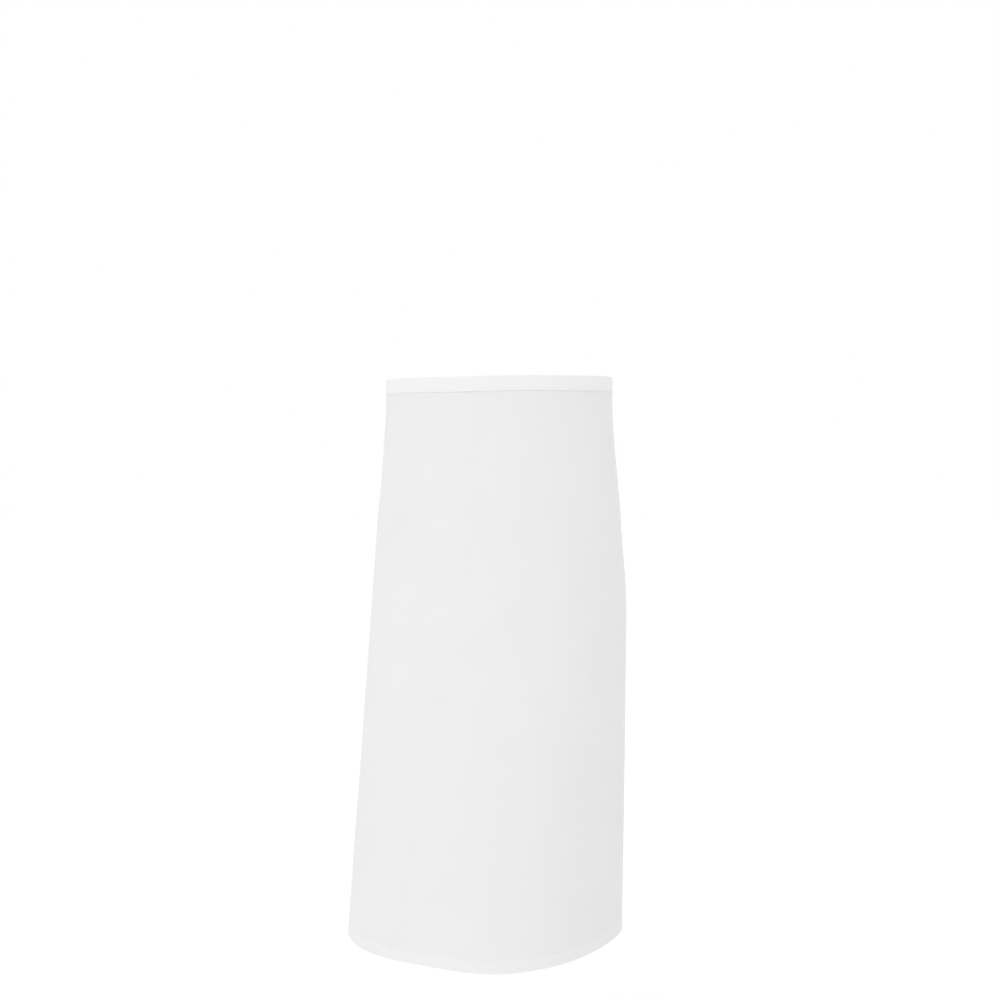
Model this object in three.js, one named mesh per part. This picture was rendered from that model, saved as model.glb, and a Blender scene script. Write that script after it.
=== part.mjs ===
// A full-length white cloth waist apron, in the shape it takes when it is worn and tied.
// One rectangular panel hangs from a folded waistband. The band's own strap runs on past both of
// its ends as the two ties, which meet in a bow at the middle of the wearer's back.
//
// Millimetres. The origin is the middle of the waist, level with the waistband's top edge.
// +Z is up, -Y is the wearer's front and +X is to the right of someone facing the wearer.

import * as THREE from "three";

const INCH = 25.4;
const GAP = 0.3; // air between layers of cloth, which keeps each piece a solid of its own

// The cloth as it is cut and sewn.
const PANEL_WIDTH = 30 * INCH;
const PANEL_DROP = 30 * INCH;
const CLOTH = 0.6; // one layer of the panel, with the small waves that it always has
const FOLD = 0.6; // the turned-in layers of a hem
const THREAD = 0.3;
const STRAP_WIDTH = 20; // the waistband and both ties
const STRAP_THICKNESS = 1.2; // the tie strap is cloth folded four times
const SIDE_HEM = 8;
const BOTTOM_HEM = 15;
const TIE_LENGTH = 30 * INCH;
const TIE_RUN = 18; // the part of a tie between the waistband's end and the knot
const TIE_RISE = 4.5; // how far a tie comes out from the waistband to the knot
const KNOT_STRAP = 50; // the part of a tie wound up in the knot
const LOOP_REACH = 112; // how far a bow loop stands out from the knot
const LOOP_STRAP = 2.07 * LOOP_REACH; // out along one side of the loop, round its end and back

// The shape of the wearer under the cloth. Every section is an ellipse about a middle point, with
// one half width for each side. FALL runs from 0 at the waist to 1 at the hem.
const WAIST_HALF_WIDTH = 153.5;
const WAIST_DEPTH = 105;
const LEFT_FLARE = 57; // how much further out the hem stands than the waist, on the left
const HIP_FALL = 0.42; // where the right side is widest
const HIP_FLARE = 21;
const HIP_TO_HEM = -4;
const MIDDLE_SET_BACK = 20;
const FRONT_FLARE = 63;
const BACK_FLARE = 10;
const CORNER_FLATTENING = 0.078; // the hem's right front corner runs straighter than an ellipse

// Where the pieces lie, as a distance out of the panel's middle surface.
const PANEL_FACE = CLOTH / 2;
const LAYER = [PANEL_FACE + GAP, PANEL_FACE + GAP + FOLD];
const ROW_STEPS = 12;
const COLUMN_STEPS = 46;

// The bow at the back.
const KNOT_CENTRE = new THREE.Vector3(0, 116, -10);
const KNOT_HALF_SIZE = new THREE.Vector3(13, 11.5, 13);
const KNOT_CLEARANCE = 0.6;
const LOOP_ROOT_Y = 123.8;
const LOOP_DROOP = THREE.MathUtils.degToRad(30);
const LOOP_LEAN = THREE.MathUtils.degToRad(6); // a loop leans away from the back towards its end
const LOOP_HALF_DEPTH = 9.5;
const TAIL_X = 9; // each tail hangs from this far beside the knot's middle
const TAIL_TOP = 18; // below the knot's middle, so that the strap swings clear of it
const TAIL_REST_DEPTH = { left: 119, right: 122 };
const TAIL_TOP_DEPTH = { left: 112, right: 116.5 };
const TAIL_DRAPE = 150; // the drop over which a tail comes out to its resting depth
const TIE_END_HEM = 10;

const WHITE_CLOTH = { color: 0xf1f1f0, roughness: 0.9, metalness: 0 };
const WHITE_THREAD = { color: 0xf4f4f3, roughness: 0.7, metalness: 0 };
const LABEL_CLOTH = { color: 0xf3f2ee, roughness: 0.6, metalness: 0 };

const group = new THREE.Group();

function addMesh(name, geometry, look) {
  const mesh = new THREE.Mesh(geometry, new THREE.MeshStandardMaterial(look));
  mesh.name = name;
  group.add(mesh);
  return mesh;
}

// The half width, depth and middle of the section at one fall.
function section(fall) {
  const toHip = Math.min(fall / HIP_FALL, 1);
  const pastHip = Math.max(fall - HIP_FALL, 0) / (1 - HIP_FALL);
  return {
    left: WAIST_HALF_WIDTH + LEFT_FLARE * fall,
    right: WAIST_HALF_WIDTH + (HIP_FLARE * (1 - Math.cos(Math.PI * toHip))) / 2 + HIP_TO_HEM * pastHip,
    front: WAIST_DEPTH + FRONT_FLARE * fall,
    back: WAIST_DEPTH + BACK_FLARE * fall,
    middle: MIDDLE_SET_BACK * fall,
    flattening: CORNER_FLATTENING * fall * fall,
  };
}

// A point of the section, where angle 0 is the front and a positive angle turns to the right.
function sectionPoint(shape, angle) {
  const isFrontRight = angle > 0 && angle < Math.PI / 2;
  const flat = isFrontRight ? 1 - shape.flattening * Math.sin(2 * angle) ** 2 : 1;
  const halfWidth = angle < 0 ? shape.left : shape.right;
  const depth = Math.cos(angle) > 0 ? shape.front : shape.back;
  const x = halfWidth * Math.sin(angle) * flat;
  const y = shape.middle - depth * Math.cos(angle) * flat;
  return new THREE.Vector2(x, y);
}

// The length round the section from the front to a point on it, as a table that can be read back.
const ARC_STEPS = 720;
const sectionCache = new Map();

function measuredSection(z) {
  const key = z.toFixed(4);
  if (sectionCache.has(key)) return sectionCache.get(key);
  const fall = THREE.MathUtils.clamp(-z / PANEL_DROP, 0, 1);
  const shape = section(fall);
  const sides = [-1, 1].map((side) => {
    const points = [sectionPoint(shape, 0)];
    const lengths = [0];
    for (let i = 1; i <= ARC_STEPS; i++) {
      const point = sectionPoint(shape, (side * Math.PI * i) / ARC_STEPS);
      lengths.push(lengths[i - 1] + point.distanceTo(points[i - 1]));
      points.push(point);
    }
    return { points, lengths };
  });
  sectionCache.set(key, sides);
  return sides;
}

// A point on the panel or near it: how far along the panel's width from the middle of the front,
// how far out of the panel's middle surface, and at what height.
function onPanel(along, out, z) {
  const side = measuredSection(z)[along < 0 ? 0 : 1];
  const length = Math.abs(along);
  let i = 1;
  while (i < ARC_STEPS && side.lengths[i] < length) i++;
  const from = side.points[i - 1];
  const to = side.points[i];
  const share = (length - side.lengths[i - 1]) / (side.lengths[i] - side.lengths[i - 1]);
  const point = from.clone().lerp(to, share);
  const turn = along < 0 ? 1 : -1;
  const outward = to.clone().sub(from).normalize().rotateAround(new THREE.Vector2(), (turn * Math.PI) / 2);
  point.addScaledVector(outward, out);
  return new THREE.Vector3(point.x, point.y, z);
}

// A closed solid swept through stations: each station places the profile's points in space. The
// profile is a strip that may bend: its first half of points runs along one face and its second
// half comes back along the other, so the ends close like a ladder, rung by rung. A side is cut in
// two from its upper corner at one station to its lower corner at the next, the same way on both
// faces, so that facing layers bend alike.
function sweptSolid(profile, stations, place) {
  const outline = profile.map(([a, b]) => new THREE.Vector2(a, b));
  if (THREE.ShapeUtils.isClockWise(outline)) outline.reverse();
  const positions = [];
  for (const station of stations) {
    for (const { x, y } of outline) positions.push(...place(station, x, y).toArray());
  }
  const count = outline.length;
  const indices = [];
  for (let s = 0; s < stations.length - 1; s++) {
    for (let i = 0; i < count; i++) {
      const next = (i + 1) % count;
      const [here, beside] = [s * count + i, s * count + next];
      const [hereAhead, besideAhead] = [here + count, beside + count];
      const runsDown = outline[i].y > outline[next].y;
      indices.push(here, beside, runsDown ? besideAhead : hereAhead);
      indices.push(runsDown ? here : beside, besideAhead, hereAhead);
    }
  }
  const lastRing = (stations.length - 1) * count;
  for (let i = 0; i < count / 2 - 1; i++) {
    const corners = [i, i + 1, count - 2 - i, count - 1 - i];
    const [a, b, c, d] = corners.map((corner) => lastRing + corner);
    indices.push(corners[0], corners[2], corners[1], corners[0], corners[3], corners[2]);
    indices.push(a, b, c, a, c, d);
  }
  const geometry = new THREE.BufferGeometry();
  geometry.setAttribute("position", new THREE.Float32BufferAttribute(positions, 3));
  geometry.setIndex(indices);
  return facingOut(geometry);
}

// The same solid with its faces turned out, whichever way its profile ran.
function facingOut(geometry) {
  const position = geometry.getAttribute("position");
  const index = geometry.getIndex().array;
  const [a, b, c] = [new THREE.Vector3(), new THREE.Vector3(), new THREE.Vector3()];
  let volume = 0;
  for (let i = 0; i < index.length; i += 3) {
    a.fromBufferAttribute(position, index[i]);
    b.fromBufferAttribute(position, index[i + 1]);
    c.fromBufferAttribute(position, index[i + 2]);
    volume += a.dot(b.cross(c));
  }
  if (volume < 0) geometry.setIndex(Array.from(index).reverse());
  return geometry;
}

// Evenly spaced values with both ends.
function spaced(from, to, steps) {
  return Array.from({ length: steps + 1 }, (_, i) => from + ((to - from) * i) / steps);
}

// The panel's own levels, and the columns and rows that its surface is cut at. All that lies on
// the panel is cut at the same ones, so that its layers stay parallel to each other.
const PANEL_TOP = -(FOLD + GAP);
const PANEL_BOTTOM = -PANEL_DROP;
const HEM_TOP = PANEL_BOTTOM + BOTTOM_HEM;
const BAND_BOTTOM = -STRAP_WIDTH;
const EDGE = PANEL_WIDTH / 2;
const FOLD_LINE = EDGE - SIDE_HEM;
const COLUMNS = [-EDGE, ...spaced(-FOLD_LINE, FOLD_LINE, COLUMN_STEPS), EDGE];
const ROWS = [PANEL_TOP, ...spaced(BAND_BOTTOM, HEM_TOP, ROW_STEPS), PANEL_BOTTOM];

// The two ends given, with the panel's own columns or rows that lie between them.
function cutAt(values, from, to) {
  const [low, high] = [Math.min(from, to), Math.max(from, to)];
  const between = values.filter((value) => value > low + GAP && value < high - GAP);
  return [from, ...between, to];
}

// A layer's outline across its thickness: its two faces, from its top row to its bottom one.
function layerProfile(outs, heights) {
  const down = heights.map((z) => [outs[1], z]);
  const up = heights.map((z) => [outs[0], z]).reverse();
  return [...down, ...up];
}

function addLayer(name, along, outs, top, bottom, look) {
  const profile = layerProfile(outs, cutAt(ROWS, top, bottom));
  return addMesh(name, sweptSolid(profile, cutAt(COLUMNS, ...along), onPanel), look);
}

function inside(outs) {
  return [-outs[1], -outs[0]];
}

// The panel and its hems. The hems are folds of the panel's own cloth, turned to the inside.
addLayer("skirt_panel", [-EDGE, EDGE], [-PANEL_FACE, PANEL_FACE], PANEL_TOP, PANEL_BOTTOM, WHITE_CLOTH);
addLayer("bottom_hem", [-EDGE, EDGE], inside(LAYER), HEM_TOP, PANEL_BOTTOM, WHITE_CLOTH);
addLayer("left_side_hem", [-EDGE, -FOLD_LINE], inside(LAYER), BAND_BOTTOM - GAP, HEM_TOP + GAP, WHITE_CLOTH);
addLayer("right_side_hem", [FOLD_LINE, EDGE], inside(LAYER), BAND_BOTTOM - GAP, HEM_TOP + GAP, WHITE_CLOTH);

// The waistband is one strip, folded over the panel's top edge.
const bandProfile = [
  [LAYER[1], BAND_BOTTOM],
  [LAYER[1], 0],
  [-LAYER[1], 0],
  [-LAYER[1], BAND_BOTTOM],
  [-LAYER[0], BAND_BOTTOM],
  [-LAYER[0], PANEL_TOP + GAP],
  [LAYER[0], PANEL_TOP + GAP],
  [LAYER[0], BAND_BOTTOM],
];
addMesh("waistband", sweptSolid(bandProfile, COLUMNS, onPanel), WHITE_CLOTH);

// A care label with nothing on it, caught in the waistband's lower edge on the inside.
// It spans two of the panel's columns, a little to the left of the front.
const LABEL = { firstColumn: 15, lastColumn: 17, drop: 42, thickness: 0.4 };
const LABEL_TOP = BAND_BOTTOM - GAP;
const labelAlong = [COLUMNS[LABEL.firstColumn], COLUMNS[LABEL.lastColumn]];
const labelOuts = inside([LAYER[0], LAYER[0] + LABEL.thickness]);
addLayer("care_label", labelAlong, labelOuts, LABEL_TOP, LABEL_TOP - LABEL.drop, LABEL_CLOTH);

// The rows of stitching, each one thread that lies on the outer face of what it holds.
const ON_PANEL = [PANEL_FACE + GAP, PANEL_FACE + GAP + THREAD];
const ON_BAND = [LAYER[1] + GAP, LAYER[1] + GAP + THREAD];
const THREAD_WIDTH = 0.6;
const EDGE_INSET = 2; // from the edge of a fold to the row that holds it
const END_INSET = 3;
const BAND_ROW = BAND_BOTTOM + EDGE_INSET;
const BOTTOM_ROW = HEM_TOP - EDGE_INSET;
const SIDE_ROW = FOLD_LINE + EDGE_INSET;

function addStitchRow(name, along, outs, z) {
  addLayer(name, along, outs, z + THREAD_WIDTH / 2, z - THREAD_WIDTH / 2, WHITE_THREAD);
}

const fullRow = [-EDGE + END_INSET, EDGE - END_INSET];
addStitchRow("waistband_stitching", fullRow, ON_BAND, BAND_ROW);
addStitchRow("bottom_hem_stitching", fullRow, ON_PANEL, BOTTOM_ROW);
for (const [name, side] of [["left_side_stitching", -1], ["right_side_stitching", 1]]) {
  const row = [side * SIDE_ROW - THREAD_WIDTH / 2, side * SIDE_ROW + THREAD_WIDTH / 2];
  addLayer(name, row, ON_PANEL, BAND_BOTTOM - 1, BOTTOM_ROW + 1, WHITE_THREAD);
}

// A dense bar of thread across each end of the waistband takes the pull of the tie.
const BAR = { width: 1.6, top: -2.5, bottom: BAND_ROW + 1 };
for (const [name, side] of [["left_bar_tack", -1], ["right_bar_tack", 1]]) {
  const outer = side * (EDGE - END_INSET);
  addLayer(name, [outer, outer - side * BAR.width].sort((a, b) => a - b), ON_BAND, BAR.top, BAR.bottom,
    WHITE_THREAD);
}

// Each tie leaves its end of the waistband and runs to the side of the knot.
const TIE_STEPS = 6;

function addTie(name, side) {
  const start = onPanel(side * EDGE, 0, 0);
  start.x -= side * GAP;
  const end = new THREE.Vector3(side * (KNOT_HALF_SIZE.x + KNOT_CLEARANCE), start.y + TIE_RISE, 0);
  const profile = layerProfile([-STRAP_THICKNESS / 2, STRAP_THICKNESS / 2], [0, BAND_BOTTOM]);
  const place = (share, out, z) => {
    const ease = share * share * (3 - 2 * share);
    return new THREE.Vector3(
      THREE.MathUtils.lerp(start.x, end.x, share),
      THREE.MathUtils.lerp(start.y, end.y, ease) + out,
      z,
    );
  };
  addMesh(name, sweptSolid(profile, spaced(0, 1, TIE_STEPS), place), WHITE_CLOTH);
}

addTie("left_tie", -1);
addTie("right_tie", 1);

// The knot is a rounded bundle with one turn of strap drawn tight round its middle, from top to
// bottom. The bundle runs from side to side, and the turn stands proud of it with soft edges.
const KNOT_TURN = { halfWidth: 0.62, edge: 0.16, bundle: 0.8 }; // as shares of the knot's half sizes
const KNOT_RINGS = 20;
const KNOT_SIDES = 24;

function addKnot() {
  const geometry = new THREE.SphereGeometry(1, KNOT_SIDES, KNOT_RINGS);
  geometry.rotateZ(Math.PI / 2);
  const position = geometry.getAttribute("position");
  for (let i = 0; i < position.count; i++) {
    const fromEdge = (KNOT_TURN.halfWidth - Math.abs(position.getX(i))) / KNOT_TURN.edge;
    const share = THREE.MathUtils.lerp(KNOT_TURN.bundle, 1, THREE.MathUtils.smoothstep(fromEdge, 0, 1));
    position.setY(i, position.getY(i) * share);
    position.setZ(i, position.getZ(i) * share);
  }
  const knot = addMesh("bow_knot", geometry, WHITE_CLOTH);
  knot.scale.copy(KNOT_HALF_SIZE);
  knot.position.copy(KNOT_CENTRE);
}

addKnot();

// A bow loop: the strap goes out, turns over and comes back, so from above it is a drop shape.
const LOOP_STEPS = 28;
const LOOP_END_TURN = 0.02; // the strap's two ends stop just short of each other
const TURN_STEP = 0.01;
const LOOP_ENDS_APART = STRAP_THICKNESS + GAP;

function dropPoint(turn) {
  const bulge = Math.sin(turn) * Math.sin(turn / 2) ** 1.5;
  const reach = KNOT_HALF_SIZE.x + KNOT_CLEARANCE + (LOOP_REACH / 2) * (1 - Math.cos(turn));
  return new THREE.Vector2(reach, LOOP_HALF_DEPTH * bulge + (LOOP_ENDS_APART / 2) * Math.cos(turn / 2));
}

function addLoop(name, side) {
  const [half, face] = [STRAP_WIDTH / 2, STRAP_THICKNESS / 2];
  const profile = layerProfile([-face, face], [half, -half]);
  const place = (turn, out, z) => {
    const point = dropPoint(turn);
    const ahead = dropPoint(turn + TURN_STEP).sub(dropPoint(turn - TURN_STEP)).normalize();
    return new THREE.Vector3(side * (point.x - ahead.y * out), point.y + ahead.x * out, z);
  };
  const turns = spaced(LOOP_END_TURN, 2 * Math.PI - LOOP_END_TURN, LOOP_STEPS);
  const mesh = addMesh(name, sweptSolid(profile, turns, place), WHITE_CLOTH);
  mesh.rotation.set(0, side * LOOP_DROOP, side * LOOP_LEAN);
  mesh.position.set(KNOT_CENTRE.x, LOOP_ROOT_Y, KNOT_CENTRE.z);
}

addLoop("left_bow_loop", -1);
addLoop("right_bow_loop", 1);

// The tails hang from the knot. Each one comes out a little over the wearer's back, and the right
// tail hangs further out than the left one, so that they can cross.
const TAIL_LENGTH = TIE_LENGTH - TIE_RUN - KNOT_STRAP - LOOP_STRAP;
const TAIL_STEPS = 10;

function addTail(key, side) {
  const x = side * TAIL_X;
  const top = KNOT_CENTRE.z - TAIL_TOP;
  const bottom = top - TAIL_LENGTH;
  const depthAt = (z) => {
    const share = Math.min((top - z) / TAIL_DRAPE, 1);
    const ease = Math.sin((share * Math.PI) / 2);
    return THREE.MathUtils.lerp(TAIL_TOP_DEPTH[key], TAIL_REST_DEPTH[key], ease);
  };
  const place = (z, across, out) => new THREE.Vector3(x + across, depthAt(z) + out, z);
  const addStrip = (name, across, outs, heights, look) => {
    const [[left, right], [inner, outer]] = [across, outs];
    const profile = [[left, inner], [right, inner], [right, outer], [left, outer]];
    addMesh(name, sweptSolid(profile, heights, place), look);
  };
  const half = STRAP_WIDTH / 2;
  const face = STRAP_THICKNESS / 2;
  const halfwayDown = top - (TAIL_DRAPE + TAIL_LENGTH) / 2;
  const heights = [...spaced(top, top - TAIL_DRAPE, TAIL_STEPS), halfwayDown, bottom];
  addStrip(`${key}_tie_tail`, [-half, half], [-face, face], heights, WHITE_CLOTH);

  // The raw end is turned under to the inner face and held by a row of stitches.
  const hemHeights = [bottom + TIE_END_HEM, bottom];
  addStrip(`${key}_tie_end_hem`, [-half + 1, half - 1], [-face - GAP - FOLD, -face - GAP], hemHeights,
    WHITE_CLOTH);
  const endRow = bottom + TIE_END_HEM - EDGE_INSET;
  const threadOuts = [face + GAP, face + GAP + THREAD];
  const rowInset = half - EDGE_INSET;
  const endHeights = [endRow + THREAD_WIDTH / 2, endRow - THREAD_WIDTH / 2];
  addStrip(`${key}_tie_end_stitching`, [-rowInset, rowInset], threadOuts, endHeights, WHITE_THREAD);

  // One long row closes the folded strap along its lower edge, which hangs on the inner side.
  const edgeRow = side * -rowInset;
  const edgeHeights = [...heights.slice(0, -1), endRow + 1];
  const edgeAcross = [edgeRow - THREAD_WIDTH / 2, edgeRow + THREAD_WIDTH / 2];
  addStrip(`${key}_tie_edge_stitching`, edgeAcross, threadOuts, edgeHeights, WHITE_THREAD);
}

addTail("left", -1);
addTail("right", 1);

export default group;
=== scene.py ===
"""The looks of a full-length white cloth waist apron, in the shape it takes when worn and tied.

The panel hangs from a folded waistband and the ties meet in a bow at the middle of the back. Every
piece of cloth is placed on one surface, the panel's, by how far along and how far down it lies, or on
a strap's own path. Lengths are in metres, +Z is up and -Y is the wearer's front.
"""

import math

import bpy
import numpy as np
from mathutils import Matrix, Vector


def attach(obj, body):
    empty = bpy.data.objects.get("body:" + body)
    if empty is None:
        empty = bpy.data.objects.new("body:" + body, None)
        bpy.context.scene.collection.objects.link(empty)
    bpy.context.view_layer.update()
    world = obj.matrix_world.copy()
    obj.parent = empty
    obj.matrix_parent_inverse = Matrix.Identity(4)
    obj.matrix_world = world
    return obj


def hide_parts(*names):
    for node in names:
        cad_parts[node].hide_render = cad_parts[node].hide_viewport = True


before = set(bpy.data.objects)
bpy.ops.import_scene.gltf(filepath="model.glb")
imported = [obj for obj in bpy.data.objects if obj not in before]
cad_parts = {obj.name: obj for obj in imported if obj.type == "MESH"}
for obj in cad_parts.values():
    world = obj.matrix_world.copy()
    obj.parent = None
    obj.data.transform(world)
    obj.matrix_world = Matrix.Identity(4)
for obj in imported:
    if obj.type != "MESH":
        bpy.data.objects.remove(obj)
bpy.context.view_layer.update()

MM = 0.001

# === Driving sizes
# They are the CAD part's own, so that each piece lies where its CAD node does, apart from the
# thicknesses and the fine shape of the cloth, which the CAD simplifies.
PANEL_WIDTH = 762 * MM
PANEL_DROP = 762 * MM
EDGE = PANEL_WIDTH / 2
STRAP_WIDTH = 20 * MM
STRAP_THICKNESS = 1.3 * MM
CLOTH = 0.45 * MM
SIDE_HEM = 8 * MM
BOTTOM_HEM = 15 * MM
HEM_TOP = -PANEL_DROP + BOTTOM_HEM
BAND_BOTTOM = -STRAP_WIDTH
FOLD_LINE = EDGE - SIDE_HEM
ROW_INSET = 2 * MM  # from a fold's edge to the row of stitches that holds it
BOTTOM_ROW = HEM_TOP - ROW_INSET
BAND_ROW = BAND_BOTTOM + ROW_INSET
SIDE_ROW = FOLD_LINE + ROW_INSET

# Where the layers lie, as distances out of the panel's middle surface.
FACE = CLOTH / 2
HEM_INNER = -FACE - 1.15 * MM
HEM_OUTER = -FACE + 0.05 * MM
BAND_INNER = FACE + 0.1 * MM
BAND_OUTER = FACE + 0.55 * MM

# The wearer's shape under the cloth, as ellipses with one half width for each side.
WAIST_HALF_WIDTH = 153.5 * MM
WAIST_DEPTH = 105 * MM
LEFT_FLARE = 57 * MM
HIP_FALL = 0.42
HIP_FLARE = 21 * MM
HIP_TO_HEM = -4 * MM
MIDDLE_SET_BACK = 20 * MM
FRONT_FLARE = 63 * MM
BACK_FLARE = 10 * MM
CORNER_FLATTENING = 0.078
# The waistband sits a little higher on the right of the front, as (place along it, rise).
WAIST_RISE = [(-60, 0), (20, 2), (90, 2.4), (165, 3.6), (200, 3), (260, 1), (381, 0)]
WAIST_RISE_FALL = 0.35  # the part of the drop over which that dies away

# Broad soft folds, as (middle along the panel, reach to each side, how far it stands out at the hem).
BROAD_FOLDS = [
    (-383, 50, 12),
    (-320, 52, -9),
    (-105, 65, -4),
    (-22, 45, 2),
    (95, 80, 3.5),
    (318, 50, -8),
    (383, 52, 11),
]
# How far the cloth stands off the plain shape at each side of the body, as (fall, distance).
LEFT_EASE = [(0, 0), (0.05, -2), (0.17, -2), (0.25, -0.6), (0.65, 0), (0.8, 0.6), (1, 1)]
RIGHT_EASE = [(0, 0), (0.22, 0), (0.27, -1.3), (0.31, -1.3), (0.4, 0), (0.5, 1.1), (0.8, 1), (1, 0.6)]
EASE_MIDDLE = (198 * MM, 65 * MM)  # along the panel at the waist, and how much further at the hem
EASE_REACH = 130 * MM
FOLD_START = 0.06  # the part of the drop that hangs without folds
FOLD_DRIFT = 12 * MM  # how far a fold strays sideways between the hem and the waist
SLOW_WAVE = 0.35 * MM
CROSS_WAVE = 0.3 * MM
# Where the hem hangs a little higher or lower, as (middle along the panel, reach, lift).
HEM_LIFTS = [(-222, 60, -2.2), (0, 60, -1.2), (205, 50, 2)]
HEM_LIFT_START = 0.6  # the part of the drop above it

# The fine relief of sewn cloth.
HEM_FULLNESS = 0.3 * MM  # how much the cloth swells where its hem lies behind it
FOLD_SOFTNESS = 1.5 * MM
ROW_DEPTH = 0.42 * MM  # how far a row of stitches draws the cloth in
ROW_REACH = 1.1 * MM
HEM_PUCKER = 0.16 * MM
UNDER_BAND_PUCKER = 0.13 * MM
BAND_PUCKER = 0.22 * MM
BAND_ROLL = 0.2 * MM
BAND_WANDER = 0.3 * MM  # how far the band's edges stray up and down

# The blank label, inside the panel and a little to the left of the front.
LABEL_ALONG = (-145.96 * MM, -113.52 * MM)
LABEL_DROP = 42 * MM
LABEL_THICKNESS = 0.25 * MM
LABEL_STAND_OFF = (0.9 * MM, 2.2 * MM)  # at its sewn edge, and how much more at its free edge
LABEL_CURL = 0.8 * MM  # how far it curls away at LABEL_CURL_REACH from its middle
LABEL_CURL_REACH = 16 * MM

# The bow at the back.
KNOT = np.array([0, 116, -10]) * MM
KNOT_SIDE = 13.6 * MM  # from the knot's middle to where the CAD's loops and ties end
LOOP_ROOT_Y = 123.8 * MM
LOOP_REACH = 112 * MM
LOOP_DROOP = math.radians(30)
LOOP_HALF_DEPTH = 9.5 * MM
LOOP_ROOT = 6 * MM  # how far out from the knot's middle the loop begins, inside the knot
LOOP_TIP = KNOT_SIDE + LOOP_REACH
LOOP_ARCH = 9 * MM  # how far the middle of the loop rises over a straight line from knot to tip
LOOP_OPENING = math.radians(26)  # how far the loop turns so that one can look into it from behind
# How far the loop stands off the wearer's back, as (share of its reach, distance).
LOOP_STAND_OFF = [(0, -1.5), (0.08, 1), (0.3, 10.5), (0.55, 14), (0.8, 14.5), (1, 13)]
# A tie's way from its end of the waistband to the knot, as (to the side, out from the end, height).
TIE_LEVEL = -10 * MM
TIE_POINTS = [(22, 1.6, -10), (13, 4.5, -10.5), (4, 7, -11)]
TIE_LENGTH = 762 * MM
TIE_RUN = 18 * MM  # the part of a tie between the waistband's end and the knot
KNOT_STRAP = 50 * MM  # the part of a tie wound up in the knot
LOOP_STRAP = 2.07 * LOOP_REACH
LOOP_ENDS_APART = 2.2 * MM
TAIL_X = 9 * MM
TAIL_DRAWN_IN = 6 * MM  # how much nearer the middle a tail is where it leaves the knot
TAIL_TOP = KNOT[2] - 18 * MM
TAIL_BOTTOM = TAIL_TOP - (TIE_LENGTH - TIE_RUN - KNOT_STRAP - LOOP_STRAP)
TAIL_TOP_DEPTH = {"left": 112 * MM, "right": 116.5 * MM}
TAIL_REST_DEPTH = {"left": 119 * MM, "right": 122 * MM}
TAIL_DRAPE = 150 * MM
TAIL_WAVE = 1.8 * MM
TAIL_TWIST = 0.2  # the same way in both, so that they stay clear of each other
TIE_END_HEM = 10 * MM
TIE_END_FOLD = 1.2 * MM  # from the strap's middle to the middle of its turned-under end
EDGE_ROW_SHARE = 0.8  # how far out towards a strap's edge its long row lies
EDGE_STITCHES = EDGE_ROW_SHARE * STRAP_WIDTH / 2
PLEAT_DEPTH = 2.6 * MM  # of the pleats where a strap is pinched to nothing
ROW_GROOVE = 0.22 * MM  # how far its edge row draws a strap's faces in
ROW_SINK = 0.18 * MM  # how far its stitches lie below a strap's full face
KNOT_SET_BACK = 1 * MM  # how much further out the turns lie than the middle of the knot
# The knot's two turns: half depth, half height, tilt, width and number of pleats.
UNDER_TURN = (8.6 * MM, 10.2 * MM, math.radians(-30), 21 * MM, 2.6)
OVER_TURN = (10.2 * MM, 11.4 * MM, math.radians(9), 16.5 * MM, 3.4)
BUNDLE_HALF_SIZE = np.array([11.5, 8.2, 9.6]) * MM
BUNDLE_END = 0.999  # how far towards its pointed ends the bundle is drawn
BUNDLE_PLEATS = 7

# Sewing thread.
THREAD_RADIUS = 0.28 * MM
STITCH_PITCH = 3.0 * MM
STITCH_SHARE = 0.8  # how much of the pitch a stitch shows above the cloth
STITCH_RINGS = np.linspace(-1, 1, 6)
STITCH_SIDES = 6
SUNK = 0.2 * MM  # how far a row lies below the full face of the folded cloth
BAR_REACH = 3.8 * MM  # from the panel's edge to the middle of the bar tack
BAR_WIDTH = 3.1  # in thread widths
BAR_TOP = -3 * MM
BAR_PITCH = 0.55 * MM
ROW_END = 3 * MM  # from the panel's edge to the end of the rows along its width

# The setting.
FLOOR_BELOW_WAIST = 1.05
FLOOR_SIZE = 30.0
CAMERA_DISTANCE = 1.8
CAMERA_ASIDE = 0.8 * MM
CAMERA_DROP = 89.4 * MM  # below the waistband's top edge
CAMERA_PITCH = math.radians(2.36)
SENSOR_WIDTH = 36  # in millimetres, as Blender has it
FOCAL_PER_WIDTH = 1.3139


# === Small helpers
def smoothstep(x):
    x = np.clip(x, 0, 1)
    return x * x * (3 - 2 * x)


def bump(x, middle, reach):
    """1 at the middle, falling smoothly to 0 at reach on both sides."""
    share = np.clip(np.abs(x - middle) / reach, 0, 1)
    return np.cos(share * math.pi / 2) ** 2


def smooth_noise(x, pitch, seed):
    """A smooth random curve of x between -1 and 1, with a new value every pitch."""
    values = np.random.default_rng(seed).uniform(-1, 1, 4096)
    place = np.asarray(x) / pitch + 1000
    cell = np.floor(place).astype(int)
    share = smoothstep(place - cell)
    return values[cell % 4096] * (1 - share) + values[(cell + 1) % 4096] * share


def unit(v):
    return v / np.maximum(np.linalg.norm(v, axis=-1, keepdims=True), 1e-12)


# === The panel's surface
ARC_STEPS = 720
PAST_ENDS = 4 * MM  # how far the surface goes on past the waist and the hem
PAST_EDGES = 6 * MM
TABLE_Z = np.linspace(PAST_ENDS, -PANEL_DROP - PAST_ENDS, 309)
TABLE_ALONG = np.linspace(-EDGE - PAST_EDGES, EDGE + PAST_EDGES, 388)


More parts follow.
